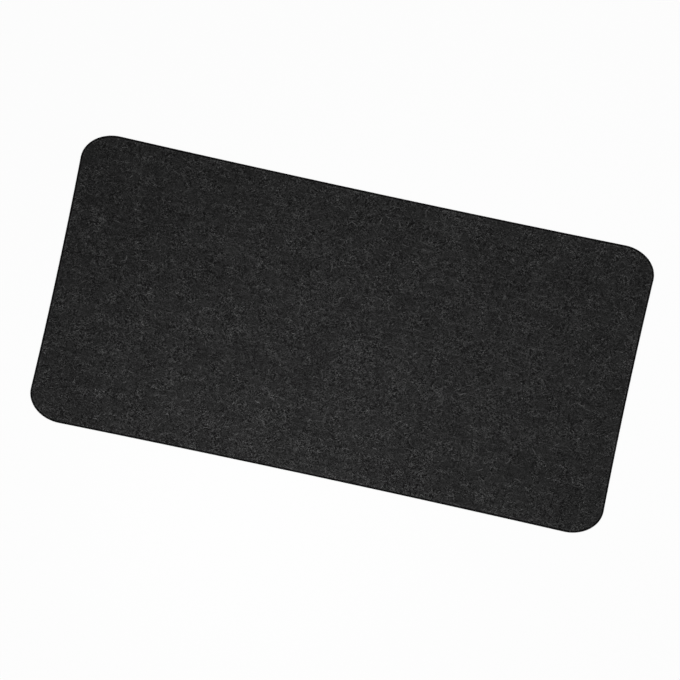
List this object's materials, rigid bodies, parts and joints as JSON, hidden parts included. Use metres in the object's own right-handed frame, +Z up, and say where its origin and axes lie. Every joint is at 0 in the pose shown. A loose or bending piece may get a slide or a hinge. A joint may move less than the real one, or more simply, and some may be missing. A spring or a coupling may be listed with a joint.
{
  "type": "desk pad",
  "caption": "Flat rectangular felt desk pad with rounded corners and a thin rubber base, laid on a desk as a soft surface for a keyboard, a mouse or writing.",
  "frame": {"origin": "middle of the underside, on the desk", "axes": "+X along the long sides, +Y along the short sides, +Z up out of the felt"},
  "size_m": [0.8, 0.4, 0.004],
  "materials": {
    "felt": "matt charcoal needled felt, heathered with lighter and darker fibres",
    "film": "smoky hot-melt film, seen only as a thin line round the cut edge",
    "rubber": "matt black rubber with low embossed grip dots underneath"
  },
  "bodies": {
    "root": {"felt_face": "felt", "bonding_film": "film", "rubber_base": "rubber"}
  },
  "joints": []
}
